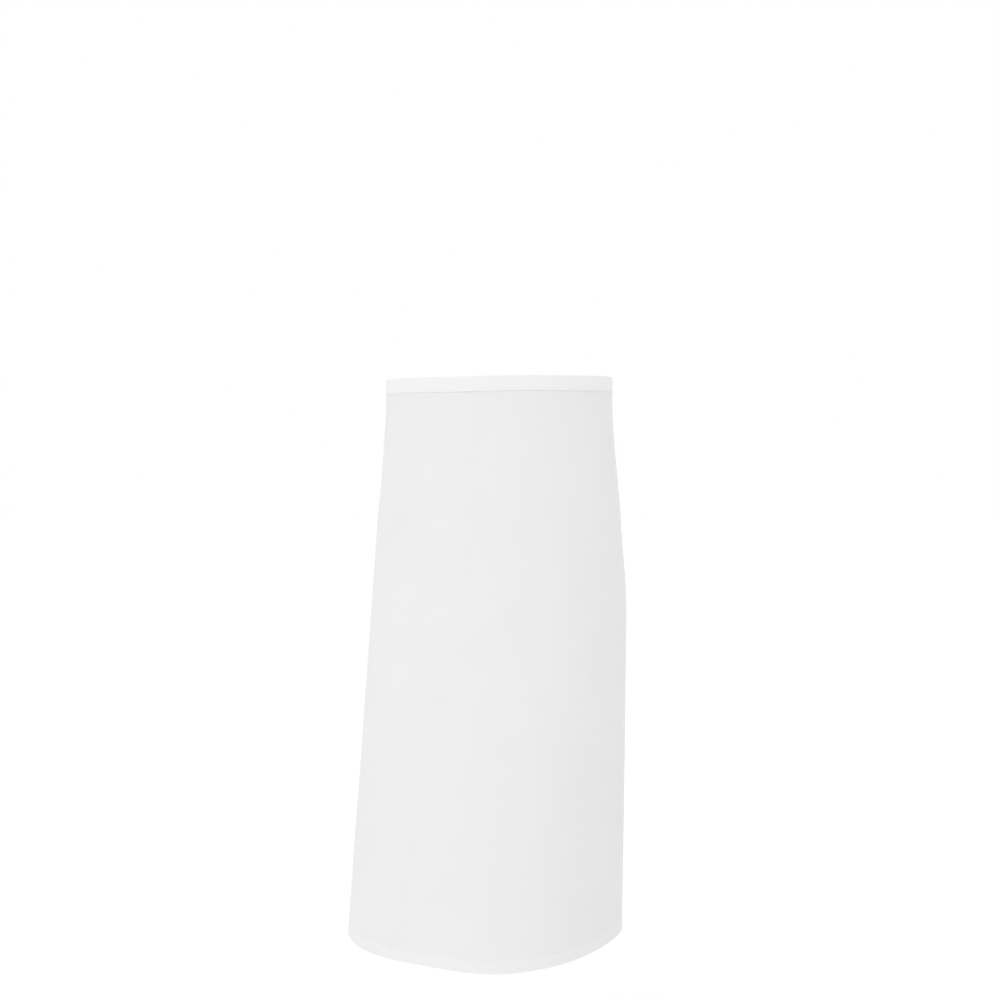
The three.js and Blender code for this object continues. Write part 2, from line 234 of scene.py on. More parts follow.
def section_side(fall, side):
    """The points of one side of the section, from the front to the back."""
    turn = np.linspace(0, math.pi, ARC_STEPS + 1)
    sin, cos = np.sin(turn), np.cos(turn)
    to_hip = min(fall / HIP_FALL, 1)
    past_hip = max(fall - HIP_FALL, 0) / (1 - HIP_FALL)
    left = WAIST_HALF_WIDTH + LEFT_FLARE * fall
    right = WAIST_HALF_WIDTH + HIP_FLARE * (1 - math.cos(math.pi * to_hip)) / 2 + HIP_TO_HEM * past_hip
    depth = WAIST_DEPTH + np.where(cos > 0, FRONT_FLARE, BACK_FLARE) * fall
    in_corner = (side > 0) & (cos > 0)
    flat = 1 - np.where(in_corner, CORNER_FLATTENING * fall**2 * np.sin(2 * turn) ** 2, 0)
    x = side * (left if side < 0 else right) * sin * flat
    y = MIDDLE_SET_BACK * fall - depth * cos * flat
    return np.stack([x, y], axis=1)


def section_row(fall, along):
    """Where the section at one fall passes, at each distance along the panel."""
    row = np.zeros((len(along), 2))
    for side in (-1, 1):
        points = section_side(fall, side)
        steps = np.linalg.norm(np.diff(points, axis=0), axis=1)
        length = np.concatenate([[0], np.cumsum(steps)])
        mine = along * side >= 0
        for axis in (0, 1):
            row[mine, axis] = np.interp(np.abs(along[mine]), length, points[:, axis])
    return row


def broad_folds(along, fall):
    """How far the soft folds stand out. They begin below the waist and grow towards the hem."""
    growth = smoothstep((fall - FOLD_START) / (1 - FOLD_START)) ** 1.1
    out = np.zeros(np.broadcast(along, fall).shape)
    for middle, reach, height in BROAD_FOLDS:
        drift = FOLD_DRIFT * math.sin(middle) * (1 - fall)
        out = out + height * MM * growth * bump(along + drift, middle * MM, reach * MM)
    for side, ease in ((-1, LEFT_EASE), (1, RIGHT_EASE)):
        falls, distances = zip(*ease)
        middle = side * (EASE_MIDDLE[0] + EASE_MIDDLE[1] * fall)
        out = out + np.interp(fall, falls, distances) * MM * bump(along, middle, EASE_REACH)
    slow = SLOW_WAVE * smooth_noise(along + 0.12 * fall, 46 * MM, 3)
    cross = CROSS_WAVE * smooth_noise(along * 0.35 - fall * 0.4, 37 * MM, 5)
    return out + (slow + cross) * smoothstep(fall / 0.1)


def hem_lift(along, fall):
    lift = sum(height * MM * bump(along, middle * MM, reach * MM) for middle, reach, height in HEM_LIFTS)
    return lift * smoothstep((fall - HEM_LIFT_START) / (1 - HEM_LIFT_START))


def build_surface():
    """The panel's middle surface and its outward normals, on the table's rows and columns."""
    fall = np.clip(-TABLE_Z / PANEL_DROP, 0, 1.01)
    rows = np.stack([section_row(f, TABLE_ALONG) for f in fall])
    flat_tangent = unit(np.gradient(rows, axis=1))
    outward = np.stack([flat_tangent[..., 1], -flat_tangent[..., 0]], axis=-1)
    along, falls = np.meshgrid(TABLE_ALONG, fall)
    rows = rows + outward * broad_folds(along, falls)[..., None]
    places, rises = (np.array(values) * MM for values in zip(*WAIST_RISE))
    rise = np.interp(along, places, rises) * (1 - smoothstep(falls / WAIST_RISE_FALL))
    height = TABLE_Z[:, None] + rise + hem_lift(along, falls)
    points = np.dstack([rows, height])
    across = np.gradient(points, axis=1)
    down = np.gradient(points, axis=0)
    return points, unit(np.cross(down, across))


SURFACE, NORMALS = build_surface()


def sample(table, along, z):
    """A smooth reading of a table at any place along and down the panel."""
    column = (along - TABLE_ALONG[0]) / (TABLE_ALONG[1] - TABLE_ALONG[0])
    row = (z - TABLE_Z[0]) / (TABLE_Z[1] - TABLE_Z[0])
    column = np.clip(column, 0, len(TABLE_ALONG) - 1.001)
    row = np.clip(row, 0, len(TABLE_Z) - 1.001)
    c, r = np.floor(column).astype(int), np.floor(row).astype(int)
    cs, rs = (column - c)[..., None], (row - r)[..., None]
    upper = table[r, c] * (1 - cs) + table[r, c + 1] * cs
    lower = table[r + 1, c] * (1 - cs) + table[r + 1, c + 1] * cs
    return upper * (1 - rs) + lower * rs


def relief(along, z):
    """The fine relief of sewn cloth: fuller over a fold, drawn in and puckered along the stitches."""
    over_bottom = smoothstep((HEM_TOP - z) / FOLD_SOFTNESS)
    over_side = smoothstep((np.abs(along) - FOLD_LINE) / FOLD_SOFTNESS)
    out = HEM_FULLNESS * np.maximum(over_bottom, over_side)
    to_bottom_row = np.abs(z - BOTTOM_ROW)
    to_side_row = np.abs(np.abs(along) - SIDE_ROW)
    drawn = np.exp(-((np.minimum(to_bottom_row, to_side_row) / ROW_REACH) ** 2))
    out = out - ROW_DEPTH * drawn
    bottom_pucker = smooth_noise(along, 5.5 * MM, 11) * np.exp(-((to_bottom_row / (10 * MM)) ** 2))
    side_pucker = smooth_noise(z, 6 * MM, 12) * np.exp(-((to_side_row / (9 * MM)) ** 2))
    below_band = np.clip(BAND_BOTTOM - z, 0, 1)
    band_pucker = smooth_noise(along, 8 * MM, 13) * np.exp(-((below_band / (16 * MM)) ** 2))
    return out + HEM_PUCKER * (bottom_pucker + side_pucker) + UNDER_BAND_PUCKER * band_pucker


def on_cloth(along, z, out, with_relief=True):
    """The place at a distance out of the panel's middle surface."""
    along, z, out = np.broadcast_arrays(along, z, out)
    if with_relief:
        out = out + relief(along, z)
    return sample(SURFACE, along, z) + sample(NORMALS, along, z) * out[..., None]


# === Mesh building
def make_object(name, vertices, faces, uvs, material):
    """A smooth-shaded mesh object. uvs holds one flat-cloth coordinate for each vertex."""
    mesh = bpy.data.meshes.new(name)
    mesh.from_pydata(vertices.reshape(-1, 3).tolist(), [], faces)
    layer = mesh.uv_layers.new(name="Cloth")
    corner_vertex = np.zeros(len(mesh.loops), dtype=np.int32)
    mesh.loops.foreach_get("vertex_index", corner_vertex)
    layer.data.foreach_set("uv", uvs.reshape(-1, 2)[corner_vertex].astype(np.float32).ravel())
    mesh.polygons.foreach_set("use_smooth", np.ones(len(mesh.polygons), dtype=bool))
    mesh.materials.append(material)
    mesh.validate()
    piece = bpy.data.objects.new(name, mesh)
    bpy.context.scene.collection.objects.link(piece)
    return piece


def ring_faces(stations, count, closed):
    """The quads between rings of count points each. A tube that isn't closed gets its ends filled,
    rung by rung, because its section is a bent strip."""
    s, i = np.meshgrid(np.arange(stations - (0 if closed else 1)), np.arange(count), indexing="ij")
    here, beside = s * count + i, s * count + (i + 1) % count
    ahead = (s + 1) % stations
    here_ahead, beside_ahead = ahead * count + i, ahead * count + (i + 1) % count
    faces = np.stack([here, beside, beside_ahead, here_ahead], axis=-1).reshape(-1, 4).tolist()
    if not closed:
        last = (stations - 1) * count
        for k in range(count // 2 - 1):
            a, b, c, d = k, k + 1, count - 2 - k, count - 1 - k
            faces.append([a, d, c, b])
            faces.append([last + a, last + b, last + c, last + d])
    return faces


def turned_out(vertices, faces):
    """The faces, turned round if they face inwards."""
    quads = np.array([f for f in faces if len(f) == 4])
    p = vertices.reshape(-1, 3)
    a, b, c, d = (p[quads[:, k]] for k in range(4))
    volume = np.einsum("ij,ij->", a, np.cross(b, c)) + np.einsum("ij,ij->", a, np.cross(c, d))
    return faces if volume > 0 else [f[::-1] for f in faces]


def swept(name, vertices, uvs, material, closed=False):
    """A piece from rings of points: vertices and uvs are indexed by station and by profile point."""
    faces = turned_out(vertices, ring_faces(vertices.shape[0], vertices.shape[1], closed))
    return make_object(name, vertices, faces, uvs, material)


def graded(*stretches):
    """Values from stretches of (start, end, step), each cut evenly."""
    values = [stretches[0][0]]
    for start, end, step in stretches:
        count = max(1, round(abs(end - start) / step))
        values += list(np.linspace(start, end, count + 1)[1:])
    return np.array(values)


def profile_length(profile):
    steps = np.linalg.norm(np.diff(profile, axis=0), axis=1)
    return np.concatenate([[0], np.cumsum(steps)])


def laid_on_panel(name, along, z, out, material):
    """A piece from the places of its points: along the panel, down it and out of it."""
    vertices = on_cloth(along, z, np.broadcast_to(out, along.shape))
    return swept(name, vertices, np.dstack([along, z]), material)


def along_band(name, profile, columns, material):
    """A piece with one profile of (z, out) points all along the panel's width."""
    heights, outs = np.array(profile).T
    along, z = np.meshgrid(columns, heights, indexing="ij")
    return laid_on_panel(name, along, z, outs, material)


def down_edge(name, profile, rows, material):
    """A piece with one profile of (along, out) points all down the panel's height."""
    places, outs = np.array(profile).T
    z, along = np.meshgrid(rows, places, indexing="ij")
    return laid_on_panel(name, along, z, outs, material)


def folded_profile(free, folded, inner, outer):
    """The section of a turned-in layer: from its free edge, along its hidden face to the fold, round
    the fold, and back along its visible face. Points are (position, out)."""
    direction = 1 if folded > free else -1
    thick = (outer - inner) / 2
    middle = (outer + inner) / 2
    span = np.linspace(free, folded - direction * thick, 7)
    hidden = [(p, outer) for p in span]
    turn = np.linspace(math.pi / 2, -math.pi / 2, 7)[1:-1]
    nose = [(folded - direction * thick * (1 - math.cos(t)), middle + thick * math.sin(t)) for t in turn]
    visible = [(p, inner) for p in span[::-1]]
    return hidden + nose + visible + [(free - direction * thick * 0.5, middle)]


# === Materials
TONE_SPREAD = 0.07  # how far the cloth's colour goes to each side of its middle lightness
CLOTH_ROUGHNESS = 0.88
WEAVE_PITCH = 0.45 * MM
WEAVE_DEPTH = 0.16 * MM
LABEL_RIB_PITCH = 0.4 * MM


class Nodes:
    """Builds one material's node tree."""

    def __init__(self, name):
        self.material = bpy.data.materials.new(name)
        self.material.use_nodes = True
        self.tree = self.material.node_tree
        self.shader = self.tree.nodes["Principled BSDF"]

    def add(self, kind, inputs=(), **settings):
        node = self.tree.nodes.new(kind)
        for key, value in settings.items():
            setattr(node, key, value)
        for key, value in dict(inputs).items():
            if isinstance(value, bpy.types.NodeSocket):
                self.tree.links.new(value, node.inputs[key])
            else:
                node.inputs[key].default_value = value
        return node

    def math(self, operation, a, b=0.0):
        return self.add("ShaderNodeMath", {0: a, 1: b}, operation=operation).outputs[0]

    def noise(self, place, scale, detail):
        inputs = {"Vector": place, "Scale": scale, "Detail": detail}
        return self.add("ShaderNodeTexNoise", inputs).outputs["Fac"]

    def cloth_place(self):
        """The place on the flat cloth, whole and as its parts along and across."""
        uv = self.add("ShaderNodeUVMap", uv_map="Cloth").outputs["UV"]
        return uv, self.add("ShaderNodeSeparateXYZ", {"Vector": uv}).outputs

    def colour(self, factor, dark, light):
        """A base colour that goes from dark to light with the factor."""
        ends = {"Factor": factor, "A": (*dark, 1), "B": (*light, 1)}
        mix = self.add("ShaderNodeMix", ends, data_type="RGBA")
        colour = next(socket for socket in mix.outputs if socket.type == "RGBA")
        self.tree.links.new(colour, self.shader.inputs["Base Color"])

    def roughness(self, factor, start, end):
        """A roughness that goes from start to end with the factor."""
        span = self.add("ShaderNodeMapRange", {"Value": factor, "To Min": start, "To Max": end})
        self.tree.links.new(span.outputs["Result"], self.shader.inputs["Roughness"])

    def relief(self, height, strength=1.0):
        """A bump from a height in metres."""
        node = self.add("ShaderNodeBump", {"Height": height, "Strength": strength, "Distance": 1.0})
        self.tree.links.new(node.outputs["Normal"], self.shader.inputs["Normal"])


def weave_height(nodes, uv, axes):
    """Plain weave: threads that pass over and under each other, a little unevenly."""
    wobble = nodes.math("MULTIPLY", nodes.noise(uv, 160.0, 2.0), 1.6)
    turns = math.pi / WEAVE_PITCH
    warp = nodes.math("SINE", nodes.math("ADD", nodes.math("MULTIPLY", axes["X"], turns), wobble))
    weft = nodes.math("SINE", nodes.math("ADD", nodes.math("MULTIPLY", axes["Y"], turns), wobble))
    crossing = nodes.math("MULTIPLY", warp, weft)
    return nodes.math("ADD", nodes.math("MULTIPLY", crossing, 0.5), 0.5)


def slubs(nodes, uv):
    """Thicker stretches of thread, which run both along and across the cloth."""
    streaks = []
    for scale in ((900, 45, 1.0), (40, 1100, 1.0)):
        mapped = nodes.add("ShaderNodeMapping", {"Vector": uv, "Scale": scale})
        streaks.append(nodes.noise(mapped.outputs[0], 1.0, 3.0))
    return nodes.math("MULTIPLY", nodes.math("ADD", *streaks), 0.5)


def hem_layers(nodes, axes):
    """1 where the cloth has its hem behind it, which makes it look denser and whiter."""
    below = nodes.math("LESS_THAN", axes["Y"], HEM_TOP)
    beside = nodes.math("GREATER_THAN", nodes.math("ABSOLUTE", axes["X"]), FOLD_LINE)
    return nodes.math("MAXIMUM", below, beside)


def cloth_material(name, tone, crumple=0.25 * MM, hems=0.0):
    """White woven cloth. tone is its middle lightness, and hems is what its hems add to that."""
    nodes = Nodes(name)
    uv, axes = nodes.cloth_place()
    weave = weave_height(nodes, uv, axes)
    slub = slubs(nodes, uv)
    place = nodes.add("ShaderNodeTexCoord").outputs["Object"]
    cloud = nodes.noise(place, 11.0, 4.0)
    soft = nodes.add("ShaderNodeTexNoise", {"Vector": place, "Scale": 55.0, "Detail": 5.0, "Roughness": 0.6})

    shade = nodes.math("ADD", nodes.math("MULTIPLY", weave, 0.4), nodes.math("MULTIPLY", slub, 0.35))
    shade = nodes.math("ADD", shade, nodes.math("MULTIPLY", cloud, 0.25))
    if hems:
        denser = nodes.math("MULTIPLY", hem_layers(nodes, axes), hems / (2 * TONE_SPREAD))
        shade = nodes.math("ADD", shade, denser)
    dark, light = tone - TONE_SPREAD, tone + TONE_SPREAD
    nodes.colour(shade, (dark, dark, dark * 0.995), (light, light, light * 0.997))
    nodes.roughness(slub, CLOTH_ROUGHNESS - 0.06, CLOTH_ROUGHNESS + 0.06)

    height = nodes.math("MULTIPLY", weave, WEAVE_DEPTH)
    height = nodes.math("ADD", height, nodes.math("MULTIPLY", slub, WEAVE_DEPTH * 1.2))
    height = nodes.math("ADD", height, nodes.math("MULTIPLY", soft.outputs["Fac"], crumple))
    nodes.relief(height, 0.9)
    nodes.shader.inputs["Sheen Weight"].default_value = 0.12
    nodes.shader.inputs["Sheen Roughness"].default_value = 0.5
    nodes.shader.inputs["Specular IOR Level"].default_value = 0.25
    return nodes.material


def thread_material(name):
    """Twisted polyester thread, a little brighter and smoother than the cloth."""
    nodes = Nodes(name)
    _, axes = nodes.cloth_place()
    along, round_it = nodes.math("MULTIPLY", axes["X"], 9000.0), nodes.math("MULTIPLY", axes["Y"], 12.0)
    ply = nodes.math("SINE", nodes.math("ADD", along, round_it))
    twist = nodes.math("MULTIPLY", nodes.math("ADD", ply, 1.0), 0.5)
    nodes.colour(twist, (0.78, 0.78, 0.775), (0.9, 0.9, 0.895))
    nodes.roughness(twist, 0.62, 0.5)
    nodes.relief(nodes.math("MULTIPLY", twist, 0.05 * MM))
    return nodes.material


def label_material(name):
    """Blank satin label tape, with its fine crosswise ribs."""
    nodes = Nodes(name)
    uv, axes = nodes.cloth_place()
    ribs = nodes.math("SINE", nodes.math("MULTIPLY", axes["Y"], 2 * math.pi / LABEL_RIB_PITCH))
    ribs = nodes.math("ADD", nodes.math("MULTIPLY", ribs, 0.5), 0.5)
    uneven = nodes.noise(uv, 300.0, 3.0)
    fade = nodes.math("ADD", nodes.math("MULTIPLY", ribs, 0.35), nodes.math("MULTIPLY", uneven, 0.6))
    nodes.colour(fade, (0.76, 0.755, 0.735), (0.87, 0.865, 0.85))
    nodes.roughness(uneven, 0.38, 0.55)
    nodes.relief(nodes.math("MULTIPLY", ribs, 0.03 * MM))
    return nodes.material


PANEL_CLOTH = cloth_material("panel_cloth", 0.752, hems=0.011)
FOLDED_CLOTH = cloth_material("folded_cloth", 0.79, crumple=0.35 * MM)
STRAP_CLOTH = cloth_material("strap_cloth", 0.78, crumple=0.5 * MM)
THREAD = thread_material("sewing_thread")
LABEL_TAPE = label_material("label_tape")


# === The panel, its hems, the waistband and the label
RIM = 0.25 * MM  # the first step in from a cut edge
PANEL_COLUMNS = graded(
    (-EDGE, -EDGE + RIM, RIM),
    (-EDGE + RIM, -FOLD_LINE + 6 * MM, 1.0 * MM),
    (-FOLD_LINE + 6 * MM, FOLD_LINE - 6 * MM, 3.5 * MM),
    (FOLD_LINE - 6 * MM, EDGE - RIM, 1.0 * MM),
    (EDGE - RIM, EDGE, RIM),
)
PANEL_ROWS = graded(
    (-0.9 * MM, BAND_BOTTOM + 2 * MM, 5 * MM),
    (BAND_BOTTOM + 2 * MM, BAND_BOTTOM - 12 * MM, 1.4 * MM),
    (BAND_BOTTOM - 12 * MM, HEM_TOP + 12 * MM, 5 * MM),
    (HEM_TOP + 12 * MM, HEM_TOP + 3 * MM, 1.5 * MM),
    (HEM_TOP + 3 * MM, HEM_TOP - 5 * MM, 0.7 * MM),
    (HEM_TOP - 5 * MM, -PANEL_DROP + RIM, 1.6 * MM),
    (-PANEL_DROP + RIM, -PANEL_DROP, RIM),
)


def make_panel():
    outer = [(z, FACE) for z in PANEL_ROWS]
    inner = [(z, -FACE) for z in PANEL_ROWS[::-1]]
    return along_band("skirt_panel_cloth", outer + inner, PANEL_COLUMNS, PANEL_CLOTH)


def make_bottom_hem():
    profile = folded_profile(HEM_TOP, -PANEL_DROP - 0.4 * MM, HEM_INNER, HEM_OUTER)
    return along_band("bottom_hem_fold", profile, PANEL_COLUMNS, FOLDED_CLOTH)


def make_side_hem(name, side):
    profile = folded_profile(side * FOLD_LINE, side * (EDGE + 0.3 * MM), HEM_INNER, HEM_OUTER)
    return down_edge(name, profile, PANEL_ROWS[(PANEL_ROWS < BAND_BOTTOM + 1 * MM)], FOLDED_CLOTH)


def on_band(along, z, out):
    """The place on the waistband, with the puckers along its row of stitches and its slight roll."""
    along, z, out = np.broadcast_arrays(along, z, out)
    near_row = np.exp(-(((z - BAND_ROW) / (7 * MM)) ** 2))
    pucker = BAND_PUCKER * smooth_noise(along, 4.5 * MM, 21) * near_row
    roll = BAND_ROLL * smooth_noise(along, 60 * MM, 22)
    wander = BAND_WANDER * smooth_noise(along, 35 * MM, 23)
    return on_cloth(along, z + wander, out + pucker + roll, with_relief=False)


def make_waistband():
    """One strip folded over the panel's top edge, with its lower edges turned under."""
    crown_reach = 1.2 * MM
    above_row = np.linspace(-crown_reach, BAND_ROW + 1.2 * MM, 8)
    faces_down = np.concatenate([above_row, [BAND_ROW, BAND_ROW - 1 * MM]])
    dip = 0.25 * MM * np.exp(-(((faces_down - BAND_ROW) / (0.9 * MM)) ** 2))
    lip = [(0.35, 1), (0.1, 0.85), (0, 0.5), (0.15, 0.15), (0.4, 0)]

    def side(sign):
        """One face of the band, from its top to its lower edge, where it turns under."""
        points = [(z, sign * (BAND_OUTER - d)) for z, d in zip(faces_down, dip)]
        for rise, share in lip:
            out = BAND_INNER + share * (BAND_OUTER - BAND_INNER)
            points.append((BAND_BOTTOM + rise * MM, sign * out))
        return points

    turn = np.linspace(0, math.pi, 9)[1:-1]
    crown = [(crown_reach * (math.sin(t) - 1), BAND_OUTER * math.cos(t)) for t in turn]
    outside = np.array(side(1)[::-1] + crown + side(-1))
    inside_z = np.clip(outside[:, 0], BAND_BOTTOM + 0.5 * MM, -0.55 * MM)
    inside = np.stack([inside_z, np.clip(outside[:, 1], -BAND_INNER, BAND_INNER)], axis=1)
    profile = np.concatenate([outside, inside[::-1]])
    columns = graded((-EDGE - 1.5 * MM, EDGE + 1.5 * MM, 2 * MM))
    along, z = np.meshgrid(columns, profile[:, 0], indexing="ij")
    vertices = on_band(along, z, np.broadcast_to(profile[:, 1], along.shape))
    uvs = np.dstack([along, np.broadcast_to(profile_length(profile), along.shape)])
    return swept("waistband_fold", vertices, uvs, FOLDED_CLOTH)


def make_label():
    """A blank label, caught by its top edge and standing a little away from the panel below."""
    columns = graded((LABEL_ALONG[0], LABEL_ALONG[1], 2 * MM))
    rows = graded((BAND_BOTTOM + 3 * MM, BAND_BOTTOM - LABEL_DROP, 2 * MM))
    faces = np.concatenate([rows, rows[::-1]])
    at_edge, further = LABEL_STAND_OFF
    fall = np.clip((BAND_BOTTOM - faces) / LABEL_DROP, 0, 1)
    lifts = at_edge + further * fall**1.5 + LABEL_THICKNESS * (np.arange(len(faces)) >= len(rows))
    along, z = np.meshgrid(columns, faces, indexing="ij")
    curl = LABEL_CURL * ((along - np.mean(LABEL_ALONG)) / LABEL_CURL_REACH) ** 2 * fall
    vertices = on_cloth(along, z, -lifts - curl, with_relief=False)
    return swept("blank_care_label", vertices, np.dstack([along, z]), LABEL_TAPE)


# === Stitches
def stitches(name, places, middles, length=STITCH_PITCH * STITCH_SHARE, radius=THREAD_RADIUS, lift=0.12 * MM):
    """Separate stitches in one mesh. Each of places turns (along the row, across it, out of it) into
    points, and gets a row of its own. A stitch rises from the cloth, runs along it and dips back in."""
    t = STITCH_RINGS[None, :, None]
    turn = np.linspace(0, 2 * math.pi, STITCH_SIDES, endpoint=False)[None, None, :]
    middles = np.asarray(middles)
    slant = np.random.default_rng(len(middles)).normal(0, 0.05 * MM, len(middles))[:, None, None]
    thick = radius * np.sqrt(1 - np.abs(t) ** 4 * 0.85)
    s = middles[:, None, None] + t * length / 2 + 0 * turn
    across = slant * t + thick * np.cos(turn)
    out = lift * (1 - t**2 * 2.2) + thick * 0.8 * np.sin(turn) + 0 * s
    one = ring_faces(len(STITCH_RINGS), STITCH_SIDES, False)
    size = len(STITCH_RINGS) * STITCH_SIDES
    vertices, faces, uvs = [], [], []
    for place in places:
        row = place(s, across, out)
        start = len(vertices) * len(middles) * size
        row_faces = np.array(turned_out(row[0], one))
        firsts = start + size * np.arange(len(middles))[:, None, None]
        faces += (firsts + row_faces[None]).reshape(-1, 4).tolist()
        vertices.append(row.reshape(-1, 3))
        flat = np.stack([s - middles[:, None, None], np.broadcast_to(turn, s.shape)], axis=-1)
        uvs.append(flat.reshape(-1, 2))
    return make_object(name, np.concatenate(vertices), faces, np.concatenate(uvs), THREAD)


def row_middles(start, end, pitch=STITCH_PITCH):
    return np.linspace(start, end, int(abs(end - start) / pitch))


def both_faces(place, outer, inner):
    """The places of a row on the outer face and of the same row on the inner one."""
    return [
        lambda s, a, o: place(s, a, outer + o),
        lambda s, a, o: place(s, a, inner - o),
    ]


def side_stitching(name, side):
    """The row down one of the side hems, and the bar tack at the waistband's end above it."""

    def on_hem(s, a, out):
        return on_cloth(side * SIDE_ROW + a, s, out)

    def on_bar(s, a, out):
        return on_band(side * (EDGE - BAR_REACH) + a * BAR_WIDTH, s, out)

    hem_middles = row_middles(BAND_BOTTOM - ROW_INSET, BOTTOM_ROW + ROW_INSET)
    hem_row = stitches(f"{name}_side_stitches", both_faces(on_hem, FACE, HEM_INNER), hem_middles)
    bar_middles = row_middles(BAR_TOP, BAND_ROW, BAR_PITCH)
    bar = stitches(f"{name}_bar_tack_stitches", both_faces(on_bar, BAND_OUTER, -BAND_OUTER), bar_middles,
                   length=0.6 * MM, radius=0.26 * MM, lift=0.15 * MM)
    return {f"{name}_side_stitching": hem_row, f"{name}_bar_tack": bar}


def make_panel_stitching():
    """The rows on the waistband and the panel's hems, and the bar tacks at the waistband's ends."""

    def on_waistband(s, a, out):
        return on_band(s, BAND_ROW + a, out)

    def on_bottom(s, a, out):
        return on_cloth(s, BOTTOM_ROW + a, out)

    middles = row_middles(ROW_END - EDGE, EDGE - ROW_END)
    band_faces = both_faces(on_waistband, BAND_OUTER - SUNK, SUNK - BAND_OUTER)
    return {
        "waistband_stitching": stitches("waistband_stitches", band_faces, middles),
        "bottom_hem_stitching": stitches(
            "bottom_hem_stitches", both_faces(on_bottom, FACE, HEM_INNER), middles
        ),
        **side_stitching("left", -1),
        **side_stitching("right", 1),
    }


# === Straps: the ties, the bow's loops and tails, and the knot
class StrapPath:
    """A smooth path through points, with the strap's width direction at each."""

    def __init__(self, points, width_directions, steps=160, closed=False):
        points, wide = np.array(points, float), np.array(width_directions, float)
        if closed:
            points, wide = np.vstack([points, points[:1]]), np.vstack([wide, wide[:1]])
        t = np.linspace(0, len(points) - 1, steps)
        self.points = self.curve(points, t, closed)
        wide = unit(self.curve(wide, t, closed))
        tangent = unit(np.gradient(self.points, axis=0))
        if closed:
            tangent[0] = tangent[-1] = unit(self.points[1] - self.points[-2])
        self.normal = unit(np.cross(tangent, wide))
        self.wide = unit(np.cross(self.normal, tangent))
        self.length = profile_length(self.points)

    @staticmethod
    def curve(p, t, closed):
        """Catmull-Rom through p."""
        if closed:
            p = np.vstack([p[-2], p, p[1]])
        else:
            p = np.vstack([2 * p[0] - p[1], p, 2 * p[-1] - p[-2]])
        i = np.clip(np.floor(t).astype(int), 0, len(p) - 4)
        u = (t - i)[:, None]
        a, b, c, d = p[i], p[i + 1], p[i + 2], p[i + 3]
        bend, sway = 2 * a - 5 * b + 4 * c - d, 3 * b - a - 3 * c + d
        return 0.5 * (2 * b + (c - a) * u + bend * u**2 + sway * u**3)

    def place(self, s, across, out):
        """Points from a distance along the strap, across it and out of its face."""
        s, across, out = np.broadcast_arrays(s, across, out)

        def read(values):
            return np.stack([np.interp(s, self.length, values[:, k]) for k in range(3)], axis=-1)

        return read(self.points) + read(self.wide) * across[..., None] + read(self.normal) * out[..., None]


def strap_section(width, thickness, points_per_face=9):
    """The section of a folded strap: two nearly flat faces joined by round folds, as (across, out)."""
    half, thick = width / 2, thickness / 2
    face = np.linspace(-half + thick, half - thick, points_per_face)
    nose = np.linspace(math.pi / 2, -math.pi / 2, 6)[1:-1]
    top = [(a, thick) for a in face]
    right = [(half - thick + thick * math.cos(t), thick * math.sin(t)) for t in nose]
    bottom = [(a, -thick) for a in face[::-1]]
    left = [(-x, -y) for x, y in right]
    return np.array(top + right + bottom + left)


def strap(name, path, pinches=(), stitched_side=-1, seed=1, cup=0.0, width=STRAP_WIDTH, crease=0.3 * MM):
    """A strap along a path. pinches are (place along, reach, remaining share of the width). It comes
    back with a function that gives the places on its faces, for what is sewn on it."""
    section = strap_section(width, STRAP_THICKNESS)
    s = path.length
    share = np.ones(len(s))
    for middle, reach, left in pinches:
        share = np.minimum(share, 1 - (1 - left) * bump(s, middle, reach))

    def bend(at, rest, left):
        """How far the strap bends out of its path, by its creases and by its pleats where pinched."""
        creased = crease * smooth_noise(at + rest * 6 * MM, 13 * MM, seed) * (0.4 + 0.6 * np.abs(rest))
        pleated = PLEAT_DEPTH * np.cos(rest * math.pi * 1.5 + seed) + cup * (1 - rest**2)
        return creased + (1 - left) * pleated

    rest = section[:, 0][None, :] / (width / 2)
    across = section[:, 0][None, :] * share[:, None]
    along = np.broadcast_to(s[:, None], across.shape)
    groove = ROW_GROOVE * np.exp(-(((rest - stitched_side * EDGE_ROW_SHARE) / 0.09) ** 2))
    face_sign = np.sign(section[:, 1])[None, :]
    out = section[:, 1][None, :] - groove * face_sign + bend(along, rest, share[:, None])
    uvs = np.dstack([along, np.broadcast_to(section[:, 0], along.shape)])
    piece = swept(name, path.place(along, across, out), uvs, STRAP_CLOTH)

    def surface(at, sideways, lift, face=1):
        at, sideways, lift = np.broadcast_arrays(at, sideways, lift)
        left = np.interp(at, s, share)
        height = face * (STRAP_THICKNESS / 2 - ROW_SINK + lift)
        return path.place(at, sideways * left, height + bend(at, sideways / (width / 2), left))

    return piece, surface


def edge_row(name, surface, across, middles):
    """A row of stitches along a strap's edge, on both faces."""
    return stitches(name, [
        lambda s, a, o: surface(s, across + a, o),
        lambda s, a, o: surface(s, across + a, o, face=-1),
    ], middles)


def make_tie(name, side):
    """From inside the waistband's end to inside the knot."""
    level = np.array(TIE_LEVEL)
    start = on_band(np.array(side * (EDGE - 4 * MM)), level, np.array(0.0))
    end = on_band(np.array(side * EDGE), level, np.array(0.0))
    way = [[side * x * MM, end[1] + out * MM, z * MM] for x, out, z in TIE_POINTS]
    points = [start, end, *way]
    path = StrapPath(points, [[0, 0, side]] * len(points), steps=48)
    total = path.length[-1]
    at_knot = [(total, 22 * MM, 0.5)]
    tie, surface = strap(name, path, at_knot, stitched_side=-side, seed=31 + side, crease=0.15 * MM)
    middles = row_middles(6 * MM, total - 14 * MM)
    return tie, edge_row(f"{name}_edge_stitches", surface, -side * EDGE_STITCHES, middles)


